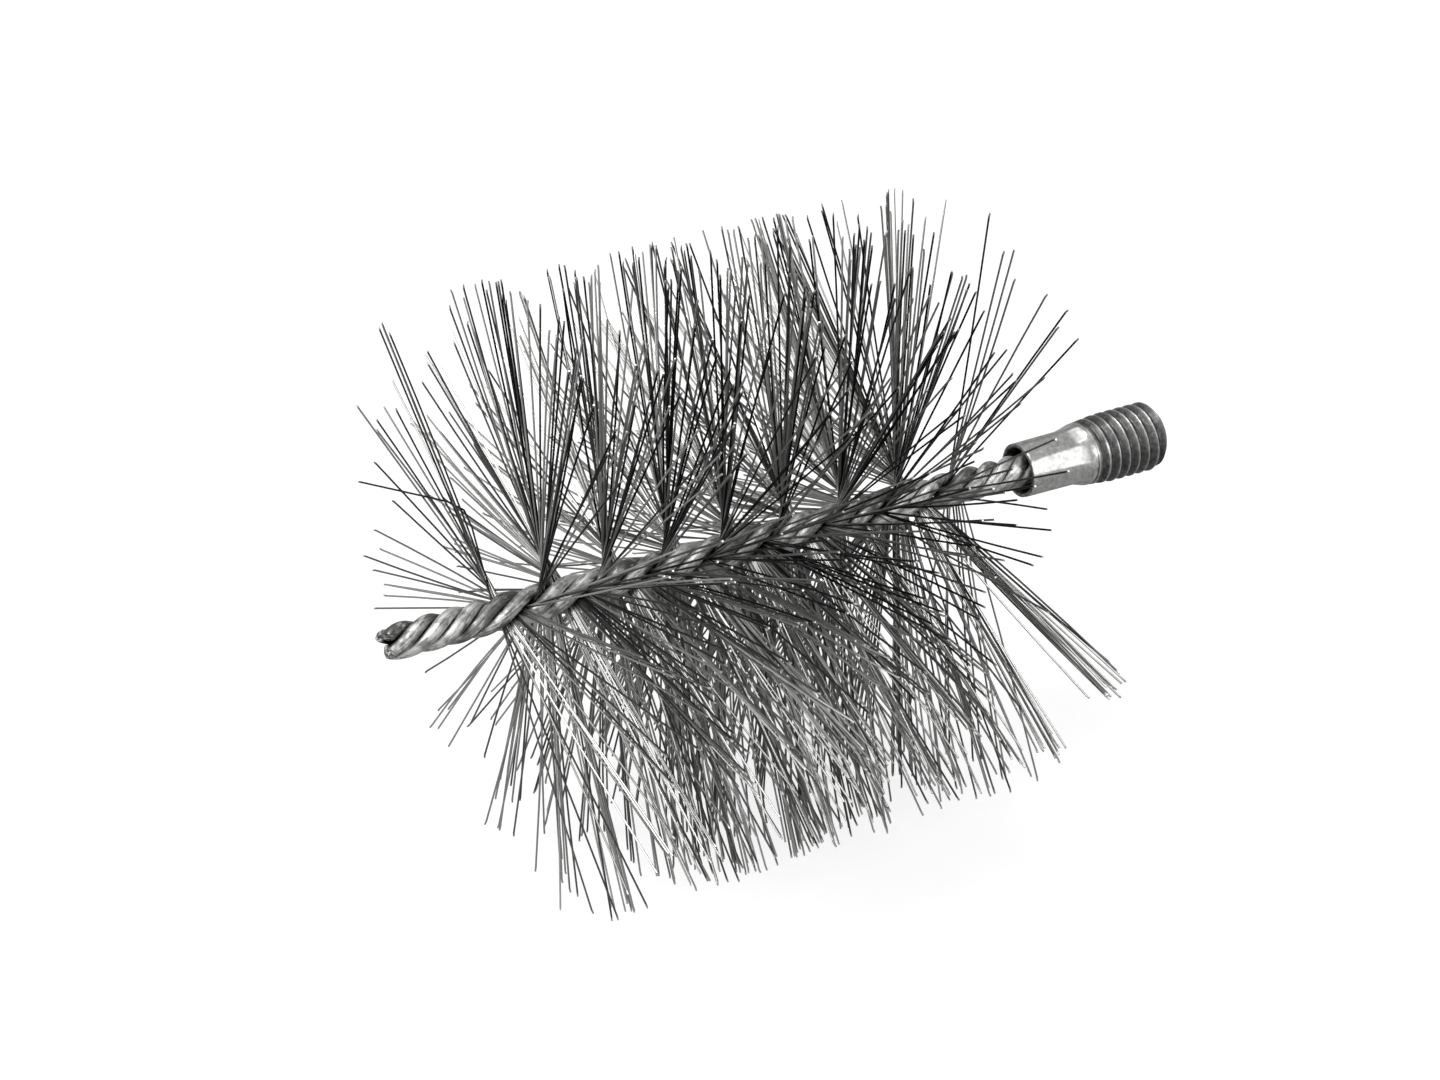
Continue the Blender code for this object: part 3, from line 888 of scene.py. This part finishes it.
def bristle_tree(material):
    """Draws a bristle from each point of the carrier, which lies on the axis, out to its tip."""
    sizes = (
        ("Wire Radius", "Float"),
        ("Grip Radius", "Float"),
        ("Packed Thickness", "Float"),
        ("Bow", "Float"),
        ("Burr", "Float"),
        ("Bend Start", "Float"),
        ("Seed", "Int"),
    )
    tree, given = new_tree("bristle", sizes)

    # Each bristle's root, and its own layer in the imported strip, bow, and side of the burr
    values = {"Mesh": given["Geometry"]}
    roots = add(tree, "GeometryNodeMeshToPoints", values)
    values = {"Geometry": roots, "Name": "root", "Value": add(tree, "GeometryNodeInputPosition")}
    roots = add(tree, STORE, values, data_type="FLOAT_VECTOR")
    room = add(tree, MATH, (given["Packed Thickness"], given["Wire Radius"]), operation="SUBTRACT")
    draws = (
        ("layer", -0.5, 0.5, room),
        ("bow_along", -1.0, 1.0, given["Bow"]),
        ("bow_across", -1.0, 1.0, given["Bow"]),
        ("burr_turn", 0.0, 2 * math.pi, 1.0),
    )
    for step, (name, low, high, size) in enumerate(draws, 1):
        # Sockets 2, 3 and 8 are the limits and the seed, and output 1 is the number
        seed = add(tree, MATH, (given["Seed"], step), operation="ADD")
        limits = {2: low, 3: high, 8: seed}
        number = add(tree, "FunctionNodeRandomValue", limits, data_type="FLOAT").outputs[1]
        value = add(tree, MATH, (number, size), operation="MULTIPLY")
        values = {"Geometry": roots, "Name": name, "Value": value}
        roots = add(tree, STORE, values, data_type="FLOAT")

    # One strand, with its points close together at the grip and at the cut tip
    strand = add(tree, "GeometryNodeCurvePrimitiveLine", {"End": (0.0, 0.0, 1.0)})
    count = len(STRAND_SHARES)
    strand = add(tree, "GeometryNodeResampleCurve", {"Curve": strand, "Count": count})
    factor = add(tree, "GeometryNodeSplineParameter").outputs["Factor"]
    spread = add(tree, "ShaderNodeFloatCurve", {"Value": factor})
    curve = spread.mapping.curves[0]
    for i, share in enumerate(STRAND_SHARES[1:-1], 1):
        curve.points.new(i / (count - 1), share)
    for point in curve.points:
        point.handle_type = "VECTOR"
    spread.mapping.update()
    values = {"Geometry": strand, "Name": "along", "Value": spread}
    strand = add(tree, STORE, values, data_type="FLOAT")
    strands = add(tree, "GeometryNodeInstanceOnPoints", {"Points": roots, "Instance": strand})
    strands = add(tree, "GeometryNodeRealizeInstances", {"Geometry": strands})

    along, layer, bow_along, bow_across, burr_turn, root, outward, tip, bent_by = (
        add(tree, "GeometryNodeInputNamedAttribute", {"Name": name}, data_type=kind)
        for kind, names in (
            ("FLOAT", ("along", "layer", "bow_along", "bow_across", "burr_turn")),
            ("FLOAT_VECTOR", ("root", "outward", "tip", "bent_by")),
        )
        for name in names
    )
    lengthwise = (1.0, 0.0, 0.0)
    sideways = add(tree, VECTOR_MATH, (lengthwise, outward), operation="CROSS_PRODUCT")
    root = add(tree, VECTOR_MATH, (sideways, layer, root), operation="MULTIPLY_ADD")
    grip = add(tree, VECTOR_MATH, (outward, given["Grip Radius"], root), operation="MULTIPLY_ADD")
    run = add(tree, VECTOR_MATH, (tip, grip), operation="SUBTRACT")

    # How far out a point lies: inside the stem's grip, and then as a share of the run beyond it
    reach = add(tree, VECTOR_MATH, (run,), operation="LENGTH").outputs["Value"]
    whole = add(tree, MATH, (reach, given["Grip Radius"]), operation="ADD")
    radius = add(tree, MATH, (along, whole), operation="MULTIPLY")
    inside = add(tree, MATH, (radius, given["Grip Radius"]), operation="MINIMUM")
    outside = add(tree, MATH, (radius, inside), operation="SUBTRACT")
    beyond = add(tree, MATH, (outside, reach), operation="DIVIDE")

    # A bow over the whole run, and a burr at the cut
    half_turn = add(tree, MATH, (beyond, math.pi), operation="MULTIPLY")
    bow = add(tree, MATH, (half_turn,), operation="SINE")
    at_cut = add(tree, MATH, (along, BURR_FROM), operation="GREATER_THAN")
    burr = add(tree, MATH, (at_cut, given["Burr"]), operation="MULTIPLY")
    shifts = []
    for operation, own_bow in (("COSINE", bow_along), ("SINE", bow_across)):
        bowed = add(tree, MATH, (bow, own_bow), operation="MULTIPLY")
        turned = add(tree, MATH, (burr_turn,), operation=operation)
        shifts.append(add(tree, MATH, (burr, turned, bowed), operation="MULTIPLY_ADD"))

    # The share of its bend, from 0 where that starts to 1 at the tip
    past = add(tree, MATH, (beyond, given["Bend Start"]), operation="SUBTRACT")
    eased = add(tree, MATH, (past, 0.0, BEND_SOFTNESS), operation="SMOOTH_MAX")
    bending = add(tree, MATH, (1.0, given["Bend Start"]), operation="SUBTRACT")
    bent = add(tree, MATH, (eased, bending), operation="DIVIDE")
    moves = (
        (outward, inside),
        (run, beyond),
        (lengthwise, shifts[0]),
        (sideways, shifts[1]),
        (bent_by, bent),
    )
    place = root
    for direction, size in moves:
        place = add(tree, VECTOR_MATH, (direction, size, place), operation="MULTIPLY_ADD")

    # The lowest tips lie on the floor
    split = add(tree, "ShaderNodeSeparateXYZ", (place,)).outputs
    height = add(tree, MATH, (split["Z"], given["Wire Radius"]), operation="MAXIMUM")
    place = add(tree, "ShaderNodeCombineXYZ", (split["X"], split["Y"], height))
    strands = add(tree, "GeometryNodeSetPosition", {"Geometry": strands, "Position": place})
    circle = add(
        tree,
        "GeometryNodeCurvePrimitiveCircle",
        {"Resolution": STRAND_SIDES, "Radius": given["Wire Radius"]},
    )
    wires = add(
        tree,
        "GeometryNodeCurveToMesh",
        {"Curve": strands, "Profile Curve": circle, "Fill Caps": True},
    )
    finish_tree(tree, wires, material)
    return tree


def wire_shade(bristle, rng):
    """How light a bristle's steel is: painted darker as shade on one upper side, and palest on
    the opposite side as painted light.
    """
    if bristle.darkened:
        return 0.0
    upper = min(max(0.5 + UPPER_SLOPE * bristle.outward.z, 0.0), 1.0)
    # Painted shade and light: above the axis the side the angle points to is darker, the opposite
    # side paler
    inwards = smooth_step((bristle.station - FILL_START) / PAINTED_SHADE_REACH)
    angle = PAINTED_SHADE_ANGLES[0] + (PAINTED_SHADE_ANGLES[1] - PAINTED_SHADE_ANGLES[0]) * inwards
    shaded_side = bristle.outward.dot(spoke(angle))
    upper_middle = UPPER_SHADE - UPPER_SHADE_LOSS * inwards
    middle = LOWER_SHADE + (upper_middle - LOWER_SHADE - PAINTED_SIDE_SHADE * shaded_side) * upper
    spread = SHADE_SPREAD[0] + (SHADE_SPREAD[1] - SHADE_SPREAD[0]) * upper
    drawn = rng.uniform(-1.0, 1.0)
    limit = LOWER_LIMIT + (1.0 - LOWER_LIMIT) * upper
    shade = middle + spread * math.copysign(abs(drawn) ** SHADE_POWER, drawn)
    return min(max(shade, 0.0), limit)


def make_bristles(material):
    """The sixteen tufts of the spiral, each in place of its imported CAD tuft."""
    tree = bristle_tree(material)
    rng = random.Random(SEED)
    tones = random.Random(SEED)
    for number in range(1, TUFT_COUNT + 1):
        bristles = tuft_bristles(f"bristle_tuft_{number:02d}", rng)
        if number == BENT_TUFT:
            bristles.append(bent_bristle())
        if number == STRAY_TUFT:
            bristles += stray_bristles()
        start = carrier(
            f"bristles_{number:02d}",
            [(bristle.x, 0.0, AXIS_HEIGHT) for bristle in bristles],
            outward=[bristle.outward for bristle in bristles],
            tip=[bristle.tip() for bristle in bristles],
            bent_by=[bristle.bent_by for bristle in bristles],
            shade=[wire_shade(bristle, tones) for bristle in bristles],
        )
        tuft = grow(
            start,
            tree,
            wire_radius=BRISTLE_WIRE / 2,
            grip_radius=GRIP_RADIUS,
            packed_thickness=PACKED_THICKNESS,
            bow=BOW,
            burr=BURR,
            bend_start=BEND_START,
            seed=SEED + number * SEED_STEP,
        )
        keep(tuft, "bristle_steel", f"bristle_tuft_{number:02d}")


def thread_tree(material):
    """Cuts a right-hand thread into a finely ringed shank that lies along X, and marks its crests
    bright, rubbed and with a painted highlight, and its roots darker."""
    sizes = (
        ("Pitch", "Float"),
        ("Depth", "Float"),
        ("Major Radius", "Float"),
        ("Thread Start", "Float"),
        ("Run Out", "Float"),
        ("Axis Height", "Float"),
        ("Phase", "Float"),
    )
    tree, given = new_tree("shank_thread", sizes)
    position = add(tree, "GeometryNodeInputPosition")
    split = add(tree, "ShaderNodeSeparateXYZ", (position,)).outputs
    x, y = split["X"], split["Y"]
    z = add(tree, MATH, (split["Z"], given["Axis Height"]), operation="SUBTRACT")
    z_squared = add(tree, MATH, (z, z), operation="MULTIPLY")
    squared = add(tree, MATH, (y, y, z_squared), operation="MULTIPLY_ADD")
    radius = add(tree, MATH, (squared,), operation="SQRT")

    # The ridge's height, 0 in the root and 1 on the crest, from the turns along and round
    angle = add(tree, MATH, (z, y), operation="ARCTAN2")
    turn = add(tree, MATH, (angle, 2 * math.pi), operation="DIVIDE")
    from_start = add(tree, MATH, (x, given["Thread Start"]), operation="SUBTRACT")
    pitches = add(tree, MATH, (from_start, given["Pitch"]), operation="DIVIDE")
    turns = add(tree, MATH, (pitches, turn), operation="SUBTRACT")
    shifted = add(tree, MATH, (turns, given["Phase"]), operation="ADD")
    phase = add(tree, MATH, (shifted,), operation="FRACT")
    off_middle = add(tree, MATH, (phase, 0.5), operation="SUBTRACT")
    off_middle = add(tree, MATH, (off_middle,), operation="ABSOLUTE")
    ridge = add(tree, MATH, (off_middle, 2.0), operation="MULTIPLY")
    rounded = add(
        tree,
        "ShaderNodeMapRange",
        {"Value": ridge, "From Min": RIDGE[0], "From Max": RIDGE[1]},
        interpolation_type="SMOOTHSTEP",
    )

    # The cut, which starts shallow and leaves the ferrule's collar and bore alone
    cut_in = add(
        tree,
        "ShaderNodeMapRange",
        {"Value": from_start, "From Max": given["Run Out"]},
        interpolation_type="SMOOTHSTEP",
    )
    hollow = add(tree, MATH, (1.0, rounded), operation="SUBTRACT")
    depth = add(tree, MATH, (hollow, given["Depth"]), operation="MULTIPLY")
    depth = add(tree, MATH, (depth, cut_in), operation="MULTIPLY")
    surface = add(tree, MATH, (given["Major Radius"], depth), operation="SUBTRACT")
    threaded = add(tree, MATH, (radius, surface), operation="MINIMUM")
    past_start = add(tree, MATH, (from_start, 0.0), operation="GREATER_THAN")
    far_out = add(tree, MATH, (radius, THREAD_FLOOR), operation="GREATER_THAN")
    on_thread = add(tree, MATH, (past_start, far_out), operation="MULTIPLY")
    divisor = add(tree, MATH, (radius, 0.01 * MM), operation="MAXIMUM")
    shrink = add(tree, MATH, (threaded, divisor), operation="DIVIDE")
    place = add(
        tree,
        "ShaderNodeCombineXYZ",
        (
            x,
            add(tree, MATH, (y, shrink), operation="MULTIPLY"),
            add(tree, MATH, (z, shrink, given["Axis Height"]), operation="MULTIPLY_ADD"),
        ),
    )
    # The crests' thin bright line is rubbed zinc and a painted highlight; the roots are darker
    flank = add(tree, MATH, (rounded, FLANK_LEVEL, ROOT_LEVEL), operation="MULTIPLY_ADD")
    crest = add(tree, MATH, (rounded, CREST_SHARPNESS), operation="POWER")
    crest_wear_and_highlight = add(tree, MATH, (crest, CREST_SHEEN_AND_WEAR, flank), operation="MULTIPLY_ADD")
    marked = add(
        tree,
        STORE,
        {"Geometry": given["Geometry"], "Selection": on_thread, "Name": "wear_shade_and_sheen", "Value": crest_wear_and_highlight},
        data_type="FLOAT",
    )
    cut = add(
        tree,
        "GeometryNodeSetPosition",
        {"Geometry": marked, "Selection": on_thread, "Position": place},
    )
    finish_tree(tree, cut, material)
    return tree


def ferrule_stations():
    """The ferrule's section as (distance from the mouth, radius, a level for how worn it is and
    its painted shade and sheen), bore first.
    """
    bore = BARE_RADIUS + BORE_PLAY
    points = [(BORE_DEPTH, 0.0, BORE_SHADE)]
    points += [(x, bore + wider, BORE_SHADE) for x, wider in BORE_WIDENING]
    points += [(x * MM, radius * MM, wear_shade_and_sheen) for x, radius, wear_shade_and_sheen in MOUTH_SECTION]
    for x in COLLAR_RINGS:
        share = (x - COLLAR_STRAIGHT) / (COLLAR_LENGTH - COLLAR_STRAIGHT)
        straight = MOUTH_RADIUS + (WAIST_RADIUS - MOUTH_RADIUS) * min(x / COLLAR_STRAIGHT, 1.0)
        cone = (NECK_RADIUS - WAIST_RADIUS) * smooth_step(share)
        points.append((x, straight + cone, COLLAR_WEAR))
    shank_end = TOTAL_LENGTH - MOUTH
    for x in np.arange(COLLAR_LENGTH, shank_end, THREAD_RING):
        taper = (x - COLLAR_LENGTH) / LEAD_IN_LENGTH
        radius = NECK_RADIUS + (THREAD_MAJOR - NECK_RADIUS) * min(taper, 1.0)
        chamfer = THREAD_MAJOR - max(x - (shank_end - END_CHAMFER), 0.0)
        points.append((x, min(radius, chamfer), SHANK_WEAR))
    end_radius = THREAD_MAJOR - END_CHAMFER
    points += [(shank_end, radius, END_WEAR) for radius in (end_radius, end_radius / 2, 0.0)]
    return points


def flat_height(x, radius):
    """How far from the axis the pressed flats lie: deeper along the collar, up to a soft step."""
    depth = CRIMP_DEPTHS[0] + (CRIMP_DEPTHS[1] - CRIMP_DEPTHS[0]) * min(x / CRIMP_LENGTH, 1.0)
    rise = max(x - (CRIMP_LENGTH - CRIMP_STEP), 0.0) / CRIMP_STEP
    return radius - depth * math.sqrt(max(1 - rise * rise, 0.0))


def ferrule_ring(x, radius):
    """One ring of the ferrule as (angle, radius) pairs, with points on the edges of the flats."""
    spacing = 2 * math.pi / CRIMP_FLATS
    half = spacing / 2 * (FLAT_POINTS - 1) / (FLAT_POINTS + ROUND_POINTS)
    pressed = MOUTH_RADIUS - RIM_HEIGHT < radius and x <= CRIMP_LENGTH
    height = flat_height(x, max(radius, MOUTH_RADIUS)) if pressed else radius
    if height < radius:
        half = min(math.acos(height / radius), WIDEST_FLAT * spacing)
    steps = [half * (2 * i / (FLAT_POINTS - 1) - 1) for i in range(FLAT_POINTS)]
    rest = spacing - 2 * half
    steps += [half + rest * (i + 1) / (ROUND_POINTS + 1) for i in range(ROUND_POINTS)]
    for flat in range(CRIMP_FLATS):
        for i, step in enumerate(steps):
            on_flat = pressed and i < FLAT_POINTS
            r = min(radius, height / math.cos(step)) if on_flat else radius
            yield CRIMP_TURN + flat * spacing + step, r


def make_ferrule(material):
    """The ferrule: one closed shell of rings with the crimped flats, and then its thread."""
    mesh = bpy.data.meshes.new("threaded_ferrule_shell")
    bm = bmesh.new()
    wear_shade_and_sheen_layer = bm.verts.layers.float.new("wear_shade_and_sheen")
    rings = []
    for x, radius, wear_shade_and_sheen in ferrule_stations():
        ring = []
        for angle, r in ferrule_ring(x, radius) if radius else [(0.0, 0.0)]:
            out = Vector((0.0, r * math.cos(angle), r * math.sin(angle)))
            vert = bm.verts.new(station(MOUTH + x) + out)
            vert[wear_shade_and_sheen_layer] = wear_shade_and_sheen
            ring.append(vert)
        rings.append(ring)
    for near, far in zip(rings, rings[1:]):
        for i in range(max(len(near), len(far))):
            corners = ((near, i), (near, i + 1), (far, i + 1), (far, i))
            bm.faces.new(list(dict.fromkeys(ring[k % len(ring)] for ring, k in corners)))
    bmesh.ops.recalc_face_normals(bm, faces=bm.faces)
    bm.to_mesh(mesh)
    bm.free()
    ferrule = grow(
        link("crimped_ferrule", mesh),
        thread_tree(material),
        pitch=THREAD_PITCH,
        depth=THREAD_DEPTH,
        major_radius=THREAD_MAJOR,
        thread_start=station(MOUTH + COLLAR_LENGTH).x,
        run_out=THREAD_RUN_OUT,
        axis_height=AXIS_HEIGHT,
        phase=THREAD_PHASE,
    )
    keep(ferrule, "plated_ferrule", "threaded_ferrule")


def ray_share(tree, camera, glossy):
    """One number for what the camera sees, another for reflections, and 0 for the light itself."""
    path = add(tree, "ShaderNodeLightPath").outputs
    seen = add(tree, MATH, (path["Is Camera Ray"], camera), operation="MULTIPLY")
    bent = add(
        tree, MATH, (path["Is Glossy Ray"], path["Is Transmission Ray"]), operation="MAXIMUM"
    )
    mirrored = add(tree, MATH, (bent, glossy), operation="MULTIPLY")
    return add(tree, MATH, (seen, mirrored), operation="MAXIMUM")


def make_floor():
    """A wide sheet of matt white paper that keeps a faint shadow of the brush and fades into the
    backdrop. Reflections show how it is lit, and little glow, because the photograph's metal is
    dark underneath."""
    material, tree = new_material("white_paper_table")
    paper = add(tree, "ShaderNodeBsdfDiffuse", {"Color": hex_colour("#949494")})
    place = add(tree, "ShaderNodeTexCoord").outputs["Object"]
    away = add(tree, VECTOR_MATH, (place,), operation="LENGTH").outputs["Value"]
    white = add(
        tree,
        "ShaderNodeMapRange",
        {
            "Value": away,
            "From Min": PAPER_FADE[0],
            "From Max": PAPER_FADE[1],
            "To Min": PAPER_SEEN[0],
            "To Max": PAPER_SEEN[1],
        },
        interpolation_type="SMOOTHSTEP",
    )
    strength = ray_share(tree, white, PAPER_GLOW)
    glow = add(tree, "ShaderNodeEmission", {"Color": hex_colour("#ffffff"), "Strength": strength})
    both = add(tree, "ShaderNodeAddShader", (paper, glow))
    add(tree, "ShaderNodeOutputMaterial", (both,))
    mesh = bpy.data.meshes.new("table")
    far = TABLE_HALF
    corners = [(-far, -far, 0.0), (far, -far, 0.0), (far, far, 0.0), (-far, far, 0.0)]
    mesh.from_pydata(corners, [], [(0, 1, 2, 3)])
    mesh.materials.append(material)
    link("table", mesh)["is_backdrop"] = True


def make_world():
    """White to the camera and along the horizon; a dim room above, apart from the lamps."""
    world = bpy.data.worlds.new("studio")
    bpy.context.scene.world = world
    world.use_nodes = True
    tree = world.node_tree
    tree.nodes.clear()
    direction = add(tree, "ShaderNodeTexCoord").outputs["Generated"]
    height = add(tree, "ShaderNodeSeparateXYZ", (direction,)).outputs["Z"]
    backdrop = add(
        tree,
        "ShaderNodeMapRange",
        {
            "Value": height,
            "From Min": HORIZON_FADE[0],
            "From Max": HORIZON_FADE[1],
            "To Min": 1.0,
            "To Max": ROOM_LEVEL,
        },
        interpolation_type="SMOOTHSTEP",
    )
    seen = ray_share(tree, 1.0, backdrop)
    strength = add(tree, MATH, (seen, ROOM_LEVEL), operation="MAXIMUM")
    background = add(
        tree, "ShaderNodeBackground", {"Color": hex_colour("#ffffff"), "Strength": strength}
    )
    add(tree, "ShaderNodeOutputWorld", (background,))


def make_lamp(name, direction, distance, width, length, radiance):
    """A softbox that faces the brush. Its radiance is what polished metal would show."""
    light = bpy.data.lights.new(name, "AREA")
    light.shape = "RECTANGLE"
    light.size = width
    light.size_y = length
    light.energy = radiance * math.pi * width * length
    lamp = bpy.data.objects.new(name, light)
    direction = Vector(direction).normalized()
    lamp.location = station(TOTAL_LENGTH / 2) + direction * distance
    lamp.rotation_euler = direction.to_track_quat("Z", "Y").to_euler()
    bpy.context.scene.collection.objects.link(lamp)


def make_camera():
    """The photograph's camera, aimed from the brush's axis."""
    look = Vector(
        (
            math.sin(VIEW_AZIMUTH) * math.cos(VIEW_ELEVATION),
            math.cos(VIEW_AZIMUTH) * math.cos(VIEW_ELEVATION),
            -math.sin(VIEW_ELEVATION),
        )
    )
    right = Vector((math.cos(VIEW_AZIMUTH), -math.sin(VIEW_AZIMUTH), 0.0))
    up = right.cross(look)
    aim = station(VIEW_AIM_STATION) + right * VIEW_SHIFT[0] + up * VIEW_SHIFT[1]
    data = bpy.data.cameras.new("photo_view")
    data.sensor_width = SENSOR_WIDTH
    data.lens = FOCAL_PIXELS / IMAGE_WIDTH * SENSOR_WIDTH
    data.clip_start = CLIP_START
    camera = bpy.data.objects.new("photo_view", data)
    turned = Matrix((right, up, -look)).transposed().to_4x4()
    camera.matrix_world = Matrix.Translation(aim - look * VIEW_DISTANCE) @ turned
    bpy.context.scene.collection.objects.link(camera)
    bpy.context.scene.camera = camera


make_camera()
make_world()
make_floor()
for lamp_name, placing in LAMPS.items():
    make_lamp(lamp_name, *placing)
make_stem(drawn_wire_steel())
make_bristles(spring_steel_wire())
make_ferrule(zinc_plate())

bpy.context.scene.view_settings.view_transform = "Standard"

boxes = {"cad": CAD_BOX, "visual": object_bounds()}
{name: [list(corner) for corner in box] for name, box in boxes.items()}
